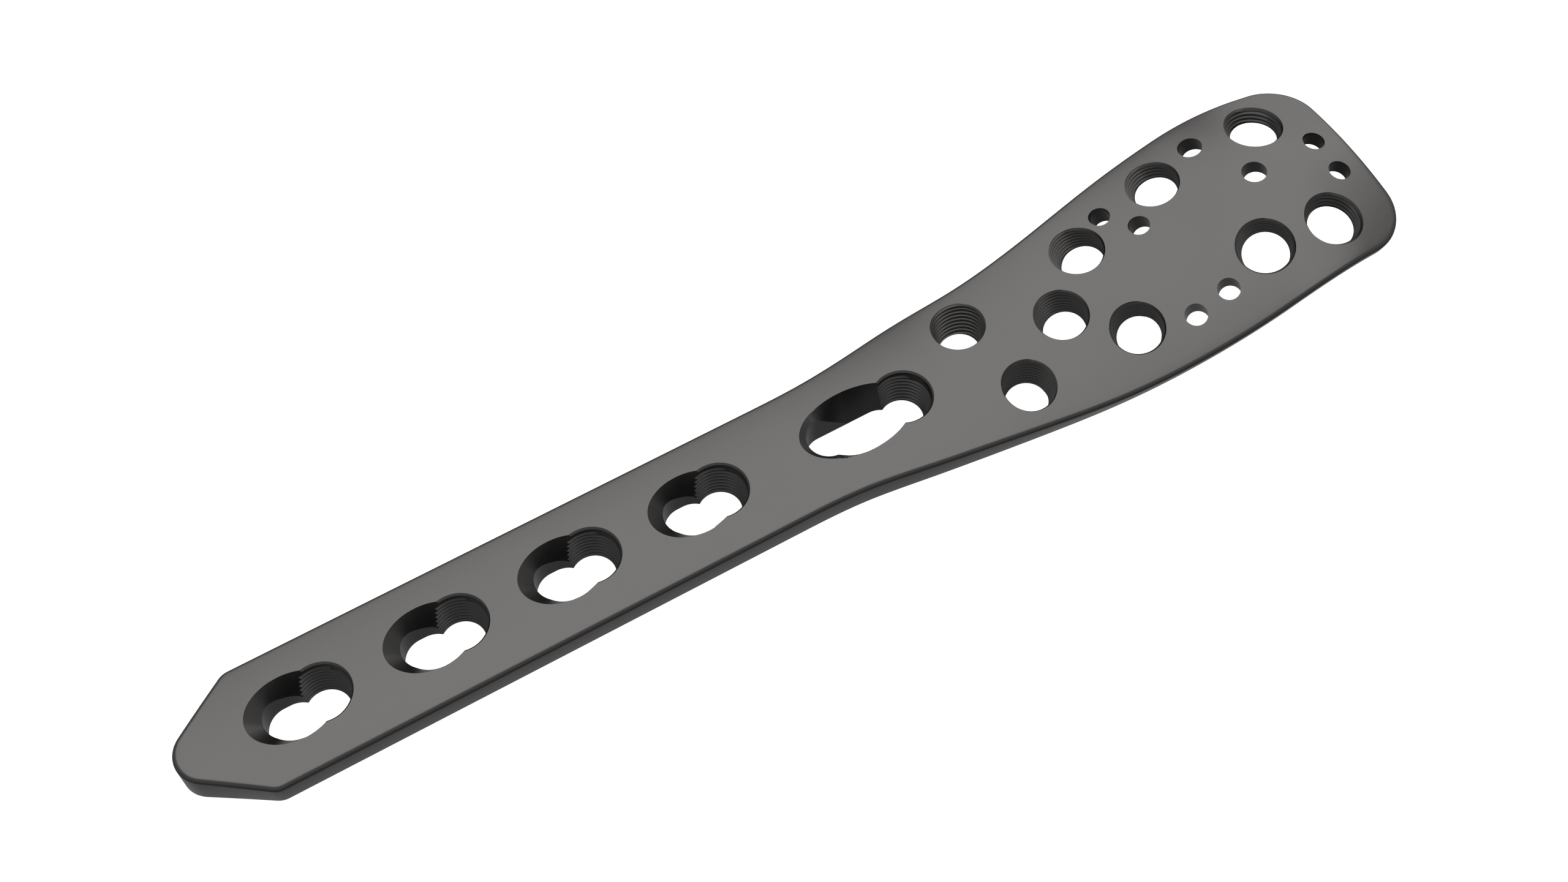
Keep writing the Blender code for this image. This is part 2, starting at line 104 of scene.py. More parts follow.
# Head: side lines, bends, twist and thinning, at stations from the first bend
BEND_X = LONG_HOLE_X + 3.0
FLARE_START = -16.5
FAR_FLARE = ((-10.5, 0.12), (-4.5, 0.78), (1.5, 1.58), (7.5, 1.80), (16.5, 2.81), (25.5, 4.31),
             (33.0, 4.86), (43.5, 4.26))
NEAR_FLARE = ((-10.5, 0.23), (-4.5, 1.08), (1.5, 1.95), (7.5, 2.75), (16.5, 3.86), (25.5, 4.59),
              (33.0, 4.78), (43.5, 4.23))
HEAD_END_X = BEND_X + 47.6
HEAD_CORNER_RADIUS = 4.8
RISE_LENGTH = 32.5
RISE_RADIUS = 125.0
CREST_LENGTH = 9.5
CREST_RADIUS = 26.0
END_RADIUS = 150.0
TWIST_SLOPES = ((13.5, 0.085), (30.5, 0.06), (47.5, 0.03))
HEAD_THINNING = ((7.5, 0.25), (14.0, 0.65), (19.5, 1.05), (29.0, 1.80), (34.0, 1.95), (41.0, 2.25),
                 (47.5, 2.40))
HOLLOW_LENGTH = 20.0
CREST_X = BEND_X + RISE_LENGTH
CREST_END_X = CREST_X + CREST_LENGTH
ORIGIN_X = 44.75

# Threaded bores of the head: station, distance from the centre, lean along and lean across
HEAD_HOLES = (
    (5.54, 3.96, 0.11, 0.11),
    (7.76, -4.86, -0.01, 0.10),
    (19.54, -5.19, -0.14, 0.09),
    (14.24, -0.34, -0.10, 0.14),
    (19.25, 4.62, -0.20, 0.06),
    (29.10, 6.57, -0.14, -0.01),
)
# The three wider bores at the head's end
END_HOLES = (
    (40.68, 6.47, -0.24, 0.02),
    (33.54, -5.26, -0.08, 0.14),
    (40.70, -6.21, -0.18, 0.14),
)

# Wire holes: the same four values, then the radius
WIRE_HOLES = (
    (34.21, 7.81, -0.18, 0.02, 1.18),
    (23.08, 6.57, -0.18, 0.04, 1.04),
    (25.44, 3.45, -0.18, 0.05, 1.04),
    (37.20, 1.71, -0.19, 0.05, 1.19),
    (44.57, 2.04, -0.03, 0.05, 1.08),
    (44.56, -2.03, -0.03, 0.05, 1.08),
    (28.59, -6.72, -0.08, 0.16, 1.08),
    (24.79, -7.05, -0.13, 0.14, 1.08),
)

# Threaded bores: the cone's radii at its mouth and its exit, and the plain land between the chamfer
# and the thread's start. A negative land starts the thread above the chamfer. Where follow is 1,
# the thread's rings follow the top round a leaning hole.
HEAD_BORE = {"chamfer": CHAMFER, "mouth": 2.48, "exit": 2.05, "land": -0.45, "follow": 1.0}
END_BORE = {"chamfer": CHAMFER, "mouth": 2.65, "exit": 2.22, "land": -0.45, "follow": 1.0}
SHAFT_BORE = {"chamfer": CHAMFER, "mouth": THREAD_MOUTH_RADIUS, "exit": THREAD_EXIT_RADIUS,
              "land": 0.32, "follow": 0.0}

# Fineness of the mesh
SLANT_STEPS = 8
CORNER_STEPS = 8
SHAFT_STEPS = 76
FLARE_STEPS = 120
NOSE_STEPS = 28
TOP_ROUND_STEPS = 8
UNDER_ROUND_STEPS = 7
BORE_SIDES = 72
SLOT_ARC_STEPS = 48
SLOT_STEP = 0.3
WIRE_SIDES = 48

# How far the cutters reach past the faces, and how far a seat may fall past the underside
MARGIN = 1.0
SEAT_OVERRUN = 0.02
# The step that slopes are taken over, the rounds of repeated solving, and the power with which the
# pull of the faces' end lines fades
SLOPE_STEP = 0.01
SETTLING_ROUNDS = 12
BORDER_FADE = 12
# Fewer faces than this mean that a cut was skipped
FEWEST_FACES = 1000

# One pitch of the thread: share of the pitch, and share of the groove's depth
THREAD_WAVE = ((0.0, 0.0), (0.19, 0.0), (0.44, 0.88), (0.52, 1.0), (0.64, 1.0), (0.72, 0.88))
# The thread's start round the hole and its run-in, in turns
THREAD_START_TURN = 0.115
THREAD_RUN_IN = 0.04
# The thread's end: plain land above the underside, and the height over which the groove fades
EXIT_LAND = 0.03
EXIT_FADE = 0.05

# Material slots of the plate: the blasted outside, the machined slots, and the bores. The slots'
# and bores' metals are darkened with painted shade, which stands in for the shade inside those
# hollows.
BLASTED = 0
MACHINED_PAINTED_SHADE = 1
THREADED_PAINTED_SHADE = 2

# Noise of the metal: its detail, the grain's share in the tone, the grain's relief in metres, and
# how far the roughness spreads about its mean
CLOUD_DETAIL = 3.0
GRAIN_DETAIL = 4.0
GRAIN_FALL = 0.6
GRAIN_SHARE = 0.65
GRAIN_RELIEF = 0.00002
MEAN_NOISE = 0.5
ROUGHNESS_SPREAD = 0.12

# Studio, in metres and degrees
WHITE = (1.0, 1.0, 1.0, 1.0)
FLOOR_HALF = 3.0
FLOOR_GAP = 0.00002
FLOOR_ROUGHNESS = 0.9
OVERHEAD_PLACE = (0.108, 0.192, 0.769)
OVERHEAD_SIZE = 1.15
SIDE_PLACE = (0.564, 0.465, 0.326)
SIDE_SIZE = 0.42
HORIZON_BLEND = 0.15
CAMERA_PLACE = (-0.045135, -0.088517, 0.168175)
CAMERA_TURN = (31.67586, 1.47612, -30.01147)
SENSOR_WIDTH = 36.0
CLIP_START = 0.01


class SmoothLine:
    """A natural cubic spline through a few stations, level before its first one."""

    def __init__(self, start, stations):
        points = np.array(((start, 0.0),) + tuple(stations))
        self.x = BEND_X + points[:, 0]
        self.y = points[:, 1]
        count = len(self.x)
        gap = np.diff(self.x)
        slope = np.diff(self.y) / gap
        matrix = np.eye(count)
        right = np.zeros(count)
        matrix[0, :2] = 2 * gap[0], gap[0]
        right[0] = 6 * slope[0]
        for i in range(1, count - 1):
            matrix[i, i - 1:i + 2] = gap[i - 1], 2 * (gap[i - 1] + gap[i]), gap[i]
            right[i] = 6 * (slope[i] - slope[i - 1])
        self.bend = np.linalg.solve(matrix, right)

    def __call__(self, x):
        """Value at x: the cubic between two stations, and a straight line past the last."""
        x = np.clip(np.asarray(x, dtype=float), self.x[0], None)
        i = np.clip(np.searchsorted(self.x, x, side="right") - 1, 0, len(self.x) - 2)
        gap = self.x[i + 1] - self.x[i]
        after = x - self.x[i]
        before = self.x[i + 1] - x
        inside = (self.bend[i] * before ** 3 + self.bend[i + 1] * after ** 3) / (6 * gap)
        inside = inside + (self.y[i] / gap - self.bend[i] * gap / 6) * before
        inside = inside + (self.y[i + 1] / gap - self.bend[i + 1] * gap / 6) * after
        end_gap = self.x[-1] - self.x[-2]
        end_slope = (self.y[-1] - self.y[-2]) / end_gap + self.bend[-2] * end_gap / 6
        return np.where(x > self.x[-1], self.y[-1] + end_slope * (x - self.x[-1]), inside)


SIDES = {1: SmoothLine(FLARE_START, FAR_FLARE), -1: SmoothLine(FLARE_START, NEAR_FLARE)}
TWIST = SmoothLine(0.0, TWIST_SLOPES)
THINNING = SmoothLine(0.0, HEAD_THINNING)


def rise(x):
    """Height of the centre line: s^2 / 2R along each of three arcs, each tangent to the last."""
    first = np.clip(x - BEND_X, 0, RISE_LENGTH)
    second = np.clip(x - CREST_X, 0, CREST_LENGTH)
    third = np.clip(x - CREST_END_X, 0, None)
    rise_slope = RISE_LENGTH / RISE_RADIUS
    end_slope = rise_slope - CREST_LENGTH / CREST_RADIUS
    height = first ** 2 / (2 * RISE_RADIUS)
    height = height + rise_slope * second - second ** 2 / (2 * CREST_RADIUS)
    return height + end_slope * third - third ** 2 / (2 * END_RADIUS)


def top_height(x, y):
    """Top: thickness, plus the rise, plus twist times y, less the crown's y^2 / 2R."""
    return SHAFT_THICKNESS + rise(x) + TWIST(x) * y - y ** 2 / (2 * CROWN_RADIUS)


def under_height(x, y):
    """Underside: rise, twist times y and thinning, less a hollow like the crown's y^2 / 2R.

    The hollow grows in as s^2 (3 - 2 s), with s from 0 to 1 over its length.
    """
    share = np.clip((x - BEND_X) / HOLLOW_LENGTH, 0, 1)
    hollow = share ** 2 * (3 - 2 * share)
    return rise(x) + TWIST(x) * y + THINNING(x) - hollow * y ** 2 / (2 * CROWN_RADIUS)


def unit(vectors):
    """Vectors of length one."""
    return vectors / np.linalg.norm(vectors, axis=-1, keepdims=True)


def top_normal(x, y):
    """Unit normal of the top: the cross product of its slopes, from small steps."""
    step = SLOPE_STEP
    along = (top_height(x + step, y) - top_height(x - step, y)) / (2 * step)
    across = (top_height(x, y + step) - top_height(x, y - step)) / (2 * step)
    return unit(np.stack((-along, -across, np.ones_like(along)), axis=-1))


def half_width(x, side):
    """Distance of one side from the centre plane: half the shaft plus the flare."""
    return HALF_WIDTH + SIDES[side](x)


def side_slope(x, side):
    """Slope of one side in plan."""
    return (half_width(x + SLOPE_STEP, side) - half_width(x - SLOPE_STEP, side)) / (2 * SLOPE_STEP)


def arc_line(centre, radius, start, end, steps):
    """Points centre + radius * direction on an arc in plan, with their outward directions."""
    angle = np.linspace(start, end, steps + 1)
    outward = np.stack((np.cos(angle), np.sin(angle)), axis=1)
    return np.hstack((np.asarray(centre) + radius * outward, outward))


def nose_centre():
    """Centre of the tip's rounding, tangent to both slanted edges."""
    apex = -TIP_LENGTH - HALF_WIDTH / math.tan(TIP_HALF_ANGLE)
    return (apex + TIP_NOSE_RADIUS / math.sin(TIP_HALF_ANGLE), 0.0)


def head_corner(side):
    """Where the side runs into the head's corner, the corner's centre and the angle there."""
    x = HEAD_END_X - HEAD_CORNER_RADIUS
    for _ in range(SETTLING_ROUNDS):
        angle = math.atan(float(side_slope(x, side)))
        x = HEAD_END_X - HEAD_CORNER_RADIUS * (1 + math.sin(angle))
    centre_y = float(half_width(x, side)) - HEAD_CORNER_RADIUS * math.cos(angle)
    return x, (HEAD_END_X - HEAD_CORNER_RADIUS, centre_y), math.pi / 2 + angle


def straight_line(start, end, outward, steps):
    """Points inside a straight edge in plan, without its ends."""
    share = np.linspace(0, 1, steps + 1)[1:-1, None]
    points = np.asarray(start) * (1 - share) + np.asarray(end) * share
    return np.hstack((points, np.tile(outward, (steps - 1, 1))))


def side_line(side):
    """One long side in plan: slanted edge, rounded corner, shaft, flare and half a head corner."""
    nose_end = arc_line(nose_centre(), TIP_NOSE_RADIUS, SLANT_TURN, SLANT_TURN, 1)[:1]
    corner_x = -TIP_LENGTH + TIP_CORNER_RADIUS * math.tan(TIP_HALF_ANGLE / 2)
    corner = arc_line((corner_x, HALF_WIDTH - TIP_CORNER_RADIUS), TIP_CORNER_RADIUS, SLANT_TURN,
                      math.pi / 2, CORNER_STEPS)
    slant = straight_line(nose_end[0, :2], corner[0, :2], nose_end[0, 2:], SLANT_STEPS)
    flare_x = BEND_X + FLARE_START
    shaft = straight_line((corner_x, HALF_WIDTH), (flare_x, HALF_WIDTH), (0.0, 1.0), SHAFT_STEPS)
    end_x, centre, end_angle = head_corner(side)
    x = np.linspace(flare_x, end_x, FLARE_STEPS + 1)[:-1]
    outward = unit(np.stack((-side_slope(x, side), np.ones_like(x)), axis=1))
    flare = np.hstack((np.stack((x, half_width(x, side)), axis=1), outward))
    head = arc_line(centre, HEAD_CORNER_RADIUS, end_angle, end_angle / 2, CORNER_STEPS)
    line = np.vstack((nose_end, slant, corner, shaft, flare, head))
    return line * (1, side, 1, side)


def tip_line():
    """The nose's rounding in plan, from the near side to the far one."""
    start = 2 * math.pi - SLANT_TURN
    return arc_line(nose_centre(), TIP_NOSE_RADIUS, start, SLANT_TURN, NOSE_STEPS)


def head_line():
    """The head's end in plan: the rest of both corners, with a straight edge between them."""
    halves = {}
    for side in (-1, 1):
        _, centre, end_angle = head_corner(side)
        half = arc_line(centre, HEAD_CORNER_RADIUS, end_angle / 2, 0.0, CORNER_STEPS)
        halves[side] = half * (1, side, 1, side)
    steps = NOSE_STEPS - 2 * CORNER_STEPS
    straight = straight_line(halves[-1][-1, :2], halves[1][-1, :2], (1.0, 0.0), steps)
    return np.vstack((halves[-1], straight, halves[1][::-1]))


def edge_sections(line):
    """The edge over each outline point: quarter round, wall square to the top, quarter round.

    The wall's foot is the point under the edge, along the top's normal, that meets the underside.
    """
    x, y = line[:, 0], line[:, 1]
    edge = np.stack((x, y, top_height(x, y)), axis=1)
    normal = top_normal(x, y)
    inward = np.hstack((-line[:, 2:], np.zeros((len(line), 1))))
    inward = unit(inward - normal * (inward * normal).sum(1, keepdims=True))
    wall = np.full(len(line), SHAFT_THICKNESS)
    for _ in range(SETTLING_ROUNDS):
        foot = edge - normal * wall[:, None]
        wall += (foot[:, 2] - under_height(foot[:, 0], foot[:, 1])) / normal[:, 2]
    foot = edge - normal * wall[:, None]
    up, within = normal[:, None], inward[:, None]
    turn = np.linspace(0, math.pi / 2, TOP_ROUND_STEPS + 1)[None, :, None]
    upper = (edge + (inward - normal) * TOP_EDGE_RADIUS)[:, None]
    upper = upper + TOP_EDGE_RADIUS * (up * np.cos(turn) - within * np.sin(turn))
    turn = np.linspace(0, math.pi / 2, UNDER_ROUND_STEPS + 1)[None, :, None]
    lower = (foot + (inward + normal) * UNDER_EDGE_RADIUS)[:, None]
    lower = lower - UNDER_EDGE_RADIUS * (within * np.cos(turn) + up * np.sin(turn))
    upper[:, 0, 2] = top_height(upper[:, 0, 0], upper[:, 0, 1])
    lower[:, -1, 2] = under_height(lower[:, -1, 0], lower[:, -1, 1])
    return np.concatenate((upper, lower), axis=1)


def quads(grid):
    """Faces over a grid of vertex numbers."""
    corners = (grid[:-1, :-1], grid[1:, :-1], grid[1:, 1:], grid[:-1, 1:])
    return np.stack([corner.ravel() for corner in corners], axis=1)


def blended_face(near, far, tip, head, height):
    """Inner points of a face: straight blends from side to side, drawn to the two ends' lines.

    An end's pull fades as a power of the distance from it, and z comes from the height's formula.
    """
    rows, columns = len(near) - 1, len(tip) - 1
    along = np.linspace(0, 1, rows + 1)[1:-1, None, None]
    across = np.linspace(0, 1, columns + 1)[None, 1:-1, None]
    points = near[1:-1, None] * (1 - across) + far[1:-1, None] * across
    for end, fade in ((tip, (1 - along) ** BORDER_FADE), (head, along ** BORDER_FADE)):
        chord = end[0] * (1 - across) + end[-1] * across
        points = points + (end[None, 1:-1] - chord) * fade
    points[..., 2] = height(points[..., 0], points[..., 1])
    return points


def body_arrays():
    """Vertices and faces of the plate without holes: edge sections all round, top and underside."""
    near, far, tip, head = side_line(-1), side_line(1), tip_line(), head_line()
    rows, columns = len(near), len(tip)
    line = np.vstack((near, head[1:-1], far[::-1], tip[1:-1][::-1]))
    sections = edge_sections(line)
    count, levels = sections.shape[:2]
    numbers = np.arange(count * levels).reshape(count, levels)
    points = [sections.reshape(-1, 3)]
    faces = [quads(np.vstack((numbers, numbers[:1])))]
    total = count * levels
    far_start = rows + columns - 2
    for level, height in ((0, top_height), (levels - 1, under_height)):
        grid = np.zeros((rows, columns), dtype=int)
        grid[:, 0] = numbers[:rows, level]
        grid[-1, 1:-1] = numbers[rows:far_start, level]
        grid[:, -1] = numbers[far_start:far_start + rows, level][::-1]
        grid[0, 1:-1] = numbers[far_start + rows:, level][::-1]
        flat = points[0]
        borders = [flat[border] for border in (grid[:, 0], grid[:, -1], grid[0], grid[-1])]
        inner = blended_face(*borders, height)
        grid[1:-1, 1:-1] = total + np.arange(inner[..., 0].size).reshape(inner.shape[:2])
        total += inner[..., 0].size
        points.append(inner.reshape(-1, 3))
        faces.append(quads(grid))
    return np.vstack(points), np.vstack(faces).tolist()


def closed_rings(rings):
    """Vertices and faces of a closed solid through rings of points, with a fan over each end."""
    levels, sides = rings.shape[:2]
    numbers = np.arange(levels * sides).reshape(levels, sides)
    faces = quads(np.hstack((numbers, numbers[:, :1]))).tolist()
    points = np.vstack((rings.reshape(-1, 3), rings[0].mean(0), rings[-1].mean(0)))
    for hub, ring in ((levels * sides, numbers[0]), (levels * sides + 1, numbers[-1])):
        fan = np.stack((np.full(sides, hub), ring, np.roll(ring, -1)), axis=1)
        faces += fan.tolist()
    return points, faces


def placed(points, place):
    """Points moved by a 4 by 4 matrix."""
    matrix = np.array(place)
    return points @ matrix[:3, :3].T + matrix[:3, 3]


def turned_rings(profile, sides, place):
    """A profile of (radius, height) turned about Z, then put in place."""
    turn = np.linspace(0, 2 * math.pi, sides, endpoint=False)
    radius, height = (np.array(column)[:, None] for column in zip(*profile))
    circle = (radius * np.cos(turn), radius * np.sin(turn), height + 0 * turn)
    return placed(np.stack(circle, axis=-1), place)


def hole_frame(x, y, lean_along, lean_across):
    """Frame of a hole: origin on the top, Z out of the hole, leaning from the surface's normal."""
    normal = Vector(top_normal(np.float64(x), np.float64(y)))
    along = Vector((1.0, 0.0, 0.0))
    along = (along - normal * along.dot(normal)).normalized()
    across = normal.cross(along)
    axis = (normal + along * lean_along + across * lean_across).normalized()
    along = (along - axis * along.dot(axis)).normalized()
    turn = Matrix((along, axis.cross(along), axis)).transposed().to_4x4()
    return Matrix.Translation((x, y, float(top_height(x, y)))) @ turn


def top_round_hole(radius, place):
    """A ring of points where a hole's cylinder meets the top, and their heights along its axis.

    Each height is found by steps along the hole's axis to the top's formula.
    """
    ring = turned_rings(((radius, 0.0),), BORE_SIDES, place)[0]
    axis = np.array(place)[:3, 2]
    height = np.zeros(BORE_SIDES)
    for _ in range(SETTLING_ROUNDS):
        points = ring + height[:, None] * axis
        height += (top_height(points[:, 0], points[:, 1]) - points[:, 2]) / axis[2]
    return ring + height[:, None] * axis, height


def threaded_cutter(bore, depth, pitch, groove, place):
    """A narrowing cone with a screw thread on it, as a closed solid.

    Row k and side j lie at depth d = lead + pitch * (k / rows + j / sides) under the top, so the
    rows fall along the thread and the last side joins the first one a pitch lower. The lead puts
    the thread's start at the end of the land. In the leaning holes the rows follow the top round
    the hole. The radius is the cone's plus the groove's depth times the row's wave, and the groove
    fades out close over the underside.
    """
    wave = np.array(THREAD_WAVE)
    rows = len(wave)
    start_depth = bore["chamfer"] + bore["land"]
    plain_turns = math.ceil((MARGIN + start_depth) / pitch)
    lead = start_depth - pitch * (plain_turns + THREAD_START_TURN)
    turns = math.ceil((depth + MARGIN - lead) / pitch)
    row = np.arange(turns * rows + 1)
    whole, part = np.divmod(row, rows)
    turn = (np.arange(BORE_SIDES) / BORE_SIDES)[None]
    down = lead + pitch * ((whole + wave[part, 0])[:, None] + turn)
    down = down - bore["follow"] * top_round_hole(bore["mouth"], place)[1][None]
    narrowing = (bore["mouth"] - bore["exit"]) / (depth - bore["chamfer"])
    radius = bore["mouth"] - narrowing * np.clip(down - bore["chamfer"], 0, None)
    ramp = np.clip((whole[:, None] + turn - plain_turns - THREAD_START_TURN) / THREAD_RUN_IN, 0, 1)
    angle = 2 * math.pi * turn
    plain = np.stack((radius * np.cos(angle), radius * np.sin(angle), -down), axis=-1)
    plain = placed(plain, place)
    over_exit = plain[..., 2] - under_height(plain[..., 0], plain[..., 1])
    fade = np.clip((over_exit - EXIT_LAND) / EXIT_FADE, 0, 1)
    radius = radius + groove * wave[part, 1][:, None] * ramp * fade
    points = np.stack((radius * np.cos(angle), radius * np.sin(angle), -down), axis=-1)
    numbers = np.arange(points[..., 0].size).reshape(points.shape[:2])
    last = numbers[:, -1]
    faces = np.vstack((quads(numbers), quads(np.stack((last[:-rows], numbers[rows:, 0]), axis=1))))
    upper = np.concatenate((numbers[0], numbers[1:rows + 1, 0][::-1]))
    lower = np.concatenate((numbers[-1], last[-rows - 1:-1][::-1]))
    flat = points.reshape(-1, 3)
    hubs = []
    fans = []
    for hub, loop in enumerate((upper, lower)):
        hubs.append((0.0, 0.0, flat[loop, 2].mean()))
        fan = np.stack((np.full(len(loop), len(flat) + hub), loop, np.roll(loop, -1)), axis=1)
        fans += fan.tolist()
    return placed(np.vstack((flat, hubs)), place), faces.tolist() + fans


def chamfer_cutter(bore, place):
    """The chamfer over a thread: in at 45 degrees from the rim, which follows the top all round."""
    rim = top_round_hole(bore["mouth"] + bore["chamfer"], place)[0]
    axis = np.array(place)[:3, 2]
    inward = np.array(place)[:3, 3] - rim
    inward = unit(inward - (inward @ axis)[:, None] * axis)
    over = rim + axis * MARGIN - inward * MARGIN
    deep = rim - 2 * bore["chamfer"] * axis + inward * 2 * bore["chamfer"]
    return closed_rings(np.stack((over, deep)))


def slot_rays(x, travel):
    """Places on a slot's middle line and the angles of rays to its wall, once round the slot."""
    half_turn = np.linspace(-math.pi / 2, math.pi / 2, SLOT_ARC_STEPS + 1)
    share = np.linspace(1, -1, math.ceil(2 * travel / SLOT_STEP) + 1)[1:-1]
    feet = np.concatenate((np.full(half_turn.size, travel), travel * share,
                           np.full(half_turn.size, -travel), -travel * share))
    angles = np.concatenate((half_turn, np.full(share.size, math.pi / 2), half_turn + math.pi,
                             np.full(share.size, 3 * math.pi / 2)))
    return x + feet, angles


def slot_cutter(x, sink, slot):
    """A countersink down to its seat, then the slot's straight wall.

    From each place (f, 0) on the slot's middle line a ray (c, s) meets the wall at t = radius and
    the countersink's ellipse at t = (sqrt(e^2 c'^2 - q (e^2 - 1)) - e c') / q, with e = offset / a,
    c' = c / a and q = c^2 / a^2 + s^2 / b^2. The seat's depth is level from the tip's side, then
    falls with the slope.
    """
    foot, angle = slot_rays(x - slot["offset"], slot["travel"])
    ray = np.stack((np.cos(angle), np.sin(angle)), axis=1)
    along = ray[:, 0] / sink["half_length"]
    across = ray[:, 1] / sink["half_width"]
    start = (foot - x + sink["offset"]) / sink["half_length"]
    square = along ** 2 + across ** 2
    reach = (np.sqrt((start * along) ** 2 - square * (start ** 2 - 1)) - start * along) / square
    middle = np.stack((foot, 0 * foot), axis=1)
    wall = middle + slot["radius"] * ray
    rim = middle + reach[:, None] * ray
    run = np.clip(wall[:, 0] - wall[:, 0].min() - sink["level"], 0, None)
    depth = np.minimum(sink["depth"] + sink["slope"] * run, SHAFT_THICKNESS + SEAT_OVERRUN)
    seat = SHAFT_THICKNESS - depth
    top = top_height(rim[:, 0], rim[:, 1])
    over = rim + (rim - wall) * (MARGIN / (top - seat))[:, None]
    rings = np.stack((
        np.hstack((over, (top + MARGIN)[:, None])),
        np.hstack((wall, seat[:, None])),
        np.hstack((wall, np.full((len(wall), 1), -2 * MARGIN))),
    ))
    return closed_rings(rings)


def mesh_thing(name, solids, metals, metal):
    """One object of one metal from closed solids, each a pair of points and faces."""
    points, faces, total = [], [], 0
    for solid_points, solid_faces in solids:
        points.append(solid_points)
        faces += [[corner + total for corner in face] for face in solid_faces]
        total += len(solid_points)
    data = bpy.data.meshes.new(name)
    data.from_pydata(np.vstack(points).tolist(), [], faces)
    work = bmesh.new()
    work.from_mesh(data)
    bmesh.ops.recalc_face_normals(work, faces=work.faces)
    work.to_mesh(data)
    work.free()
    for material in metals:
        data.materials.append(material)
    data.polygons.foreach_set("material_index", np.full(len(data.polygons), metal, dtype=np.int32))
    thing = bpy.data.objects.new(name, data)
    bpy.context.scene.collection.objects.link(thing)
    return thing


def carved(name, body, cutters, metals):
    """The body less each set of cutters in turn, whose cut faces take that set's metal."""
    plate = mesh_thing(name, [body], metals, BLASTED)
    helpers = []
    for i, (metal, solids) in enumerate(cutters):
        helper = mesh_thing(f"cutter_{i}", solids, metals, metal)
        boolean = plate.modifiers.new(helper.name, "BOOLEAN")
        boolean.operation = "DIFFERENCE"
        boolean.solver = "MANIFOLD"
        boolean.object = helper
        helpers.append(helper)
    graph = bpy.context.evaluated_depsgraph_get()
    finished = bpy.data.meshes.new_from_object(plate.evaluated_get(graph))
    plate.modifiers.clear()
    rough = plate.data
    plate.data = finished
    bpy.data.meshes.remove(rough)
    for helper in helpers:
        data = helper.data
        bpy.data.objects.remove(helper)
        bpy.data.meshes.remove(data)
    finished.name = name
    return plate


def bores():
    """Every threaded bore's sizes, its depth through the plate and its place."""
    rows = [(SHAFT_BORE, (x, 0.0, 0.0, 0.0)) for x in HOLE_ROWS + (LONG_HOLE_X,)]
    rows += [(HEAD_BORE, (BEND_X + hole[0],) + hole[1:]) for hole in HEAD_HOLES]
    rows += [(END_BORE, (BEND_X + hole[0],) + hole[1:]) for hole in END_HOLES]
    for bore, hole in rows:
        x, y = hole[:2]
        yield bore, float(top_height(x, y) - under_height(x, y)), hole_frame(*hole)


def wire_cutters():
    """The plain bores of the wire holes."""
    for station, y, lean_along, lean_across, radius in WIRE_HOLES:
        x = BEND_X + station
        depth = float(top_height(x, y) - under_height(x, y))
        profile = ((radius, MARGIN), (radius, -depth - MARGIN))
        place = hole_frame(x, y, lean_along, lean_across)
        yield closed_rings(turned_rings(profile, WIRE_SIDES, place))


def build_plate(threads, metals):
    """The body cut by every chamfer, thread, slot and wire hole, and moved to the model's frame."""
    pitch = threads.pitch / METRES
    groove = threads.depth / METRES
    places = list(bores())
    slots = [slot_cutter(x, SHORT_SINK, SHORT_SLOT) for x in HOLE_ROWS]
    slots.append(slot_cutter(LONG_HOLE_X, LONG_SINK, LONG_SLOT))
    threaded = [threaded_cutter(bore, depth, pitch, groove, place) for bore, depth, place in places]
    # The slots, threads and wire holes take the metals darkened with painted shade for their hollows
    cutters = (
        (BLASTED, [chamfer_cutter(bore, place) for bore, _, place in places]),
        (THREADED_PAINTED_SHADE, threaded),
        (MACHINED_PAINTED_SHADE, slots),
        (THREADED_PAINTED_SHADE, list(wire_cutters())),
    )
    plate = carved("plate_finished", body_arrays(), cutters, metals)
    if len(plate.data.polygons) < FEWEST_FACES:
        raise RuntimeError("the holes could not be cut")
    plate.data.transform(Matrix.Scale(METRES, 4) @ Matrix.Translation((-ORIGIN_X, 0, 0)))
    plate.data.shade_smooth()
    plate.data.set_sharp_from_angle(angle=math.radians(threads.sharp_angle_degrees))
    return plate


class Maths:
    """A shader socket that takes part in Python arithmetic by adding Math nodes."""

    def __init__(self, nodes, socket):
        self.nodes = nodes
        self.socket = socket

    def combine(self, operation, *others, swapped=False):
        """A Math node on this socket and the others, in this order or turned round."""
        operands = [self, *others]
        if swapped:
            operands.reverse()
        return self.nodes.add("ShaderNodeMath", {"operation": operation}, dict(enumerate(operands)))

    def __add__(self, other):
        return self.combine("ADD", other)

    __radd__ = __add__

    def __mul__(self, other):
        return self.combine("MULTIPLY", other)

    __rmul__ = __mul__

    def __sub__(self, other):
        return self.combine("SUBTRACT", other)

    def __rsub__(self, other):
        return self.combine("SUBTRACT", other, swapped=True)


class NodeBench:
    """Adds nodes to one shader tree."""

    def __init__(self, tree):
        self.tree = tree

    def add(self, kind, settings=None, values=None, output=0):
        """A node of a kind, its settings first, then the values or links of its sockets."""
        node = self.tree.nodes.new(kind)
        for name, value in (settings or {}).items():
            setattr(node, name, value)
        self.feed(node, values or {})
        return Maths(self, node.outputs[output])

    def feed(self, node, values):
        """Links or values for a node's sockets, by their names or numbers."""
        for name, value in values.items():
            if isinstance(value, Maths):
                self.tree.links.new(value.socket, node.inputs[name])
            else:
                node.inputs[name].default_value = value


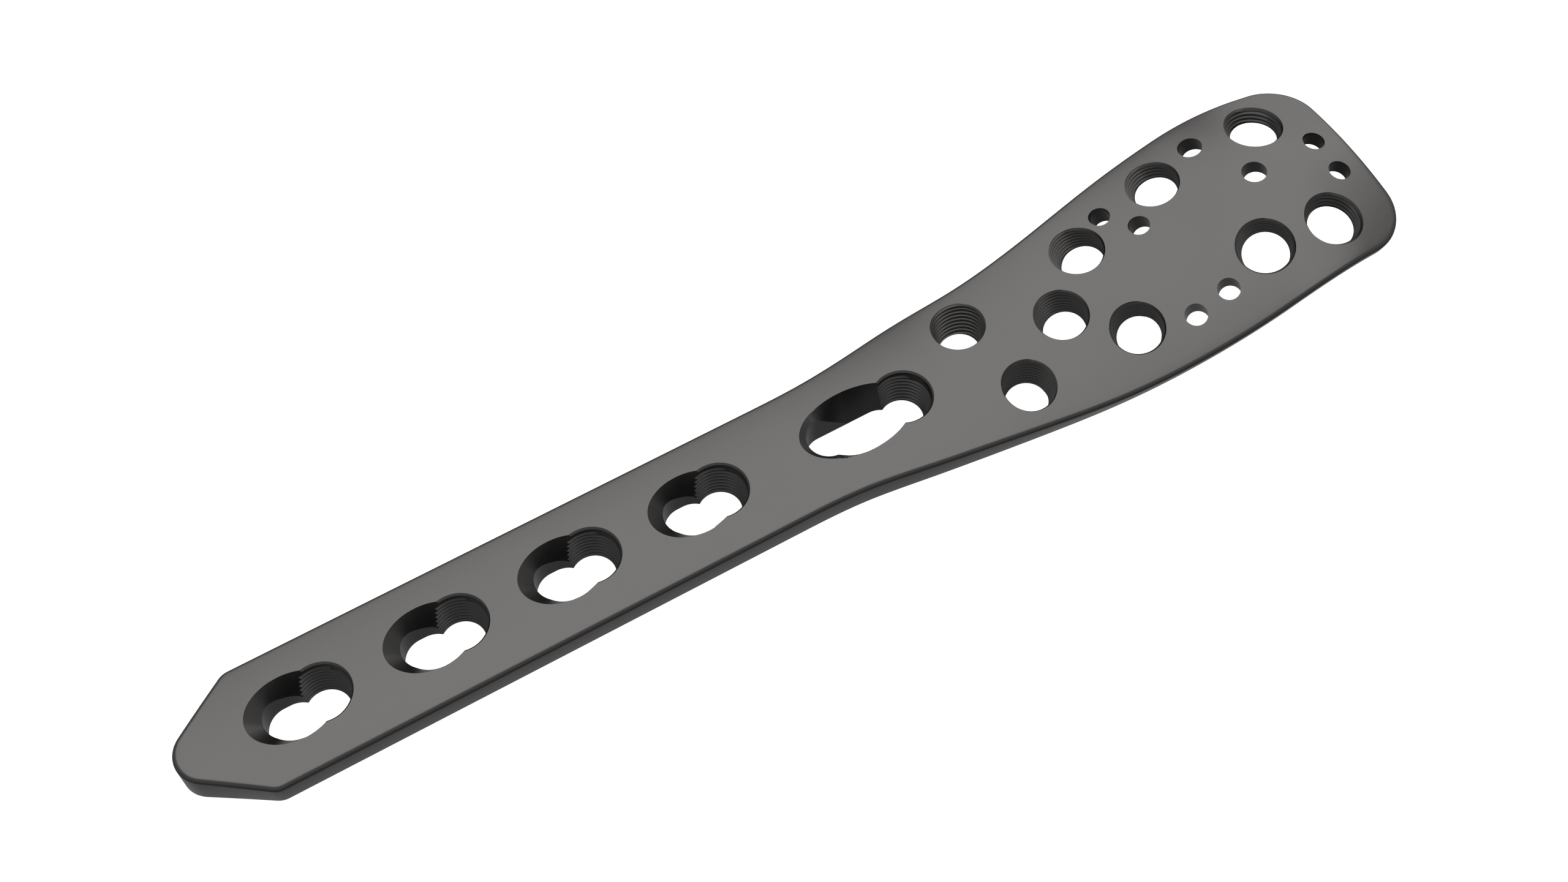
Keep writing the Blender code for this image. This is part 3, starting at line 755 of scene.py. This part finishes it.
def titanium(name, finish, shade, mean_roughness):
    """Dark titanium: faint clouds in its tone, and fine grain in its tone, roughness and relief.

    Its shade factor scales the colour down. Below one, it is painted shade for the slots and bores.
    """
    material = bpy.data.materials.new(name)
    material.use_nodes = True
    bench = NodeBench(material.node_tree)
    shader = material.node_tree.nodes["Principled BSDF"]
    place = bench.add("ShaderNodeTexCoord", output="Object")
    clouds = bench.add("ShaderNodeTexNoise", {}, {
        "Vector": place,
        "Scale": 1 / finish.cloud,
        "Detail": CLOUD_DETAIL,
    })
    grain = bench.add("ShaderNodeTexNoise", {}, {
        "Vector": place,
        "Scale": 1 / finish.grain,
        "Detail": GRAIN_DETAIL,
        "Roughness": GRAIN_FALL,
    })
    # Painted shade: the shade factor darkens the colour of the slots and bores, standing in for the
    # shade in those hollows
    tones = [[channel * shade * share for channel in finish.colour]
             for share in (1 - finish.tone_spread, 1 + finish.tone_spread)]
    tone = bench.add("ShaderNodeMix", {"data_type": "RGBA"}, {
        "Factor": clouds * (1 - GRAIN_SHARE) + grain * GRAIN_SHARE,
        "A": (*tones[0], 1.0),
        "B": (*tones[1], 1.0),
    }, output="Result")
    roughness = mean_roughness + (grain - MEAN_NOISE) * ROUGHNESS_SPREAD
    bump = bench.add("ShaderNodeBump", {}, {
        "Strength": finish.grain_strength,
        "Distance": GRAIN_RELIEF,
        "Height": grain,
    })
    bench.feed(shader, {"Base Color": tone, "Roughness": roughness, "Normal": bump})
    shader.inputs["Metallic"].default_value = finish.metallic
    return material


class ThreadSizes(bpy.types.PropertyGroup):
    """Sizes of the cut threads."""

    pitch: bpy.props.FloatProperty(
        name="Pitch", description="Distance from one thread to the next", default=0.00041,
        min=0.0002, max=0.001, unit="LENGTH", precision=5)
    depth: bpy.props.FloatProperty(
        name="Depth", description="Depth of the thread's groove", default=0.0002,
        min=0.00001, max=0.0004, unit="LENGTH", precision=5)
    sharp_angle_degrees: bpy.props.FloatProperty(
        name="Sharp angle", description="Edges that turn by more degrees than this stay sharp",
        default=14.0, min=5.0, max=90.0)


class FinishLooks(bpy.types.PropertyGroup):
    """Colour and grain of the metal, and the painted shade of its slots and bores."""

    colour: bpy.props.FloatVectorProperty(
        name="Colour", description="Colour of the metal", subtype="COLOR",
        default=(0.0450, 0.0436, 0.0428), min=0.0, max=1.0)
    tone_spread: bpy.props.FloatProperty(
        name="Tone spread", description="How far the tone varies", default=0.10, min=0.0, max=1.0,
        subtype="FACTOR")
    roughness: bpy.props.FloatProperty(
        name="Roughness", description="Mean roughness of the blasted faces", default=0.32, min=0.05,
        max=1.0, subtype="FACTOR")
    # Painted shade: darkens the machined slots' colour, standing in for the shade in those hollows
    painted_slot_shade: bpy.props.FloatProperty(
        name="Slot shade", description="Tone of the machined slots as a share of the colour",
        default=0.90, min=0.0, max=1.0, subtype="FACTOR")
    # Painted shade: darkens the threaded bores' and wire holes' colour, standing in for the shade in
    # those hollows
    painted_bore_shade: bpy.props.FloatProperty(
        name="Bore shade", description="Tone of the threaded bores and wire holes, likewise",
        default=0.60, min=0.0, max=1.0, subtype="FACTOR")
    bore_roughness: bpy.props.FloatProperty(
        name="Hole roughness", description="Mean roughness of the slots and bores", default=0.34,
        min=0.05, max=1.0, subtype="FACTOR")
    metallic: bpy.props.FloatProperty(
        name="Metallic", description="Share of metal in the surface", default=1.0, min=0.0, max=1.0,
        subtype="FACTOR")
    cloud: bpy.props.FloatProperty(
        name="Clouds", description="Size of the faint clouds in the tone", default=0.00625,
        min=0.001, max=0.1, unit="LENGTH", precision=5)
    grain: bpy.props.FloatProperty(
        name="Grain", description="Size of the blasted grain", default=0.00018, min=0.00005,
        max=0.002, unit="LENGTH", precision=5)
    grain_strength: bpy.props.FloatProperty(
        name="Grain strength", description="Strength of the grain's relief", default=0.25, min=0.0,
        max=1.0, subtype="FACTOR")


class StudioLooks(bpy.types.PropertyGroup):
    """Floor, lights and camera."""

    floor_colour: bpy.props.FloatVectorProperty(
        name="Floor", description="Colour of the floor", subtype="COLOR",
        default=(0.3, 0.3, 0.3), min=0.0, max=1.0)
    floor_glow: bpy.props.FloatProperty(
        name="Floor glow", description="Light that the floor gives of its own", default=0.95, min=0.0,
        max=5.0)
    sky: bpy.props.FloatProperty(
        name="Upper light", description="Strength of the light from all round above the floor",
        default=1.0, min=0.0, max=10.0)
    ground: bpy.props.FloatProperty(
        name="Lower light", description="Strength of the light from all round below the floor",
        default=0.40, min=0.0, max=10.0)
    key: bpy.props.FloatProperty(
        name="Overhead light", description="Power of the large light above", default=13.9, min=0.0,
        max=1000.0, unit="POWER")
    fill: bpy.props.FloatProperty(
        name="Side light", description="Power of the small light past the head's far corner",
        default=1.3, min=0.0, max=1000.0, unit="POWER")
    lens: bpy.props.FloatProperty(
        name="Lens", description="Focal length of the camera on a 36 mm frame, in millimetres",
        default=48.63, min=10.0, max=300.0)


def make_floor(scene, studio):
    """A wide pale floor just under the plate, with light of its own that keeps it white."""
    height = CAD_BOX[0].z - FLOOR_GAP
    corners = [(-FLOOR_HALF, -FLOOR_HALF), (FLOOR_HALF, -FLOOR_HALF), (FLOOR_HALF, FLOOR_HALF),
               (-FLOOR_HALF, FLOOR_HALF)]
    data = bpy.data.meshes.new("floor")
    data.from_pydata([(x, y, height) for x, y in corners], [], [(0, 1, 2, 3)])
    floor = bpy.data.objects.new("floor", data)
    scene.collection.objects.link(floor)
    material = bpy.data.materials.new("pale_floor")
    material.use_nodes = True
    shader = material.node_tree.nodes["Principled BSDF"]
    shader.inputs["Base Color"].default_value = (*studio.floor_colour, 1.0)
    shader.inputs["Roughness"].default_value = FLOOR_ROUGHNESS
    shader.inputs["Emission Color"].default_value = WHITE
    shader.inputs["Emission Strength"].default_value = studio.floor_glow
    data.materials.append(material)
    # The floor only backs the plate: the surrounding light is what its metal reflects
    floor.visible_glossy = False
    floor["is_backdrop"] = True


def make_surroundings(scene, studio):
    """White light from all round, which changes from the lower to the upper one at the horizon."""
    world = bpy.data.worlds.new("studio")
    world.use_nodes = True
    bench = NodeBench(world.node_tree)
    direction = bench.add("ShaderNodeTexCoord", output="Generated")
    upward = bench.add("ShaderNodeSeparateXYZ", {}, {"Vector": direction}, output="Z")
    strength = bench.add("ShaderNodeMapRange", {}, {
        "Value": upward,
        "From Min": -HORIZON_BLEND,
        "From Max": HORIZON_BLEND,
        "To Min": studio.ground,
        "To Max": studio.sky,
    })
    bench.feed(world.node_tree.nodes["Background"], {"Color": WHITE, "Strength": strength})
    scene.world = world


def add_light(scene, name, place, size, power):
    """A square area light that faces the plate and isn't seen itself."""
    data = bpy.data.lights.new(name, "AREA")
    data.energy = power
    data.size = size
    light = bpy.data.objects.new(name, data)
    light.visible_camera = False
    light.location = place
    light.rotation_euler = (-Vector(place)).to_track_quat("-Z", "Y").to_euler()
    scene.collection.objects.link(light)


def make_camera(scene, studio):
    """The camera at the photograph's viewing angle."""
    data = bpy.data.cameras.new("camera")
    data.lens = studio.lens
    data.sensor_width = SENSOR_WIDTH
    data.clip_start = CLIP_START
    camera = bpy.data.objects.new("camera", data)
    camera.location = CAMERA_PLACE
    camera.rotation_euler = Euler([math.radians(angle) for angle in CAMERA_TURN])
    scene.collection.objects.link(camera)
    scene.camera = camera


class BONEPLATE_OT_plate(bpy.types.Operator):
    """Make the plate with its threads and finish, in place of the plain solid"""

    bl_idname = "boneplate.plate"
    bl_label = "Make the plate"

    def execute(self, context):
        scene = context.scene
        finish = scene.plate_finish
        # The slots' and bores' metals have their real smoother roughness and a darker colour that is
        # painted shade
        metals = (titanium("blasted_titanium", finish, 1.0, finish.roughness),
                  titanium("machined_titanium_painted_shade", finish, finish.painted_slot_shade, finish.bore_roughness),
                  titanium("threaded_titanium_painted_shade", finish, finish.painted_bore_shade, finish.bore_roughness))
        plate = build_plate(scene.plate_threads, metals)
        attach(plate, "root")
        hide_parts("bone_plate")
        return {"FINISHED"}


class BONEPLATE_OT_stage(bpy.types.Operator):
    """Set the pale floor, the soft lights and the camera"""

    bl_idname = "boneplate.stage"
    bl_label = "Set the studio"

    def execute(self, context):
        scene = context.scene
        studio = scene.plate_studio
        make_floor(scene, studio)
        make_surroundings(scene, studio)
        add_light(scene, "overhead", OVERHEAD_PLACE, OVERHEAD_SIZE, studio.key)
        add_light(scene, "side", SIDE_PLACE, SIDE_SIZE, studio.fill)
        make_camera(scene, studio)
        scene.view_settings.view_transform = "Standard"
        return {"FINISHED"}


class BONEPLATE_PT_panel(bpy.types.Panel):
    """Sizes, finish and studio of the bone plate"""

    bl_idname = "BONEPLATE_PT_panel"
    bl_label = "Bone plate"
    bl_space_type = "VIEW_3D"
    bl_region_type = "UI"
    bl_category = "Bone plate"

    def draw(self, context):
        layout = self.layout
        scene = context.scene
        for title, group, operator in (
            ("Threads", scene.plate_threads, None),
            ("Finish", scene.plate_finish, BONEPLATE_OT_plate.bl_idname),
            ("Studio", scene.plate_studio, BONEPLATE_OT_stage.bl_idname),
        ):
            box = layout.box()
            box.label(text=title)
            for name in group.__annotations__:
                box.prop(group, name)
            if operator:
                box.operator(operator)


CLASSES = (ThreadSizes, FinishLooks, StudioLooks, BONEPLATE_OT_plate, BONEPLATE_OT_stage,
           BONEPLATE_PT_panel)


def register():
    """Add the classes and hang their settings on the scene."""
    for kind in CLASSES:
        bpy.utils.register_class(kind)
    bpy.types.Scene.plate_threads = bpy.props.PointerProperty(type=ThreadSizes)
    bpy.types.Scene.plate_finish = bpy.props.PointerProperty(type=FinishLooks)
    bpy.types.Scene.plate_studio = bpy.props.PointerProperty(type=StudioLooks)


def unregister():
    """Take the settings and the classes away again."""
    del bpy.types.Scene.plate_threads
    del bpy.types.Scene.plate_finish
    del bpy.types.Scene.plate_studio
    for kind in reversed(CLASSES):
        bpy.utils.unregister_class(kind)


def main():
    """Make the plate and the studio."""
    register()
    bpy.ops.boneplate.plate()
    bpy.ops.boneplate.stage()
    boxes = {"cad": CAD_BOX, "visual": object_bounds()}
    {name: [list(corner) for corner in box] for name, box in boxes.items()}


if __name__ == "__main__":
    main()
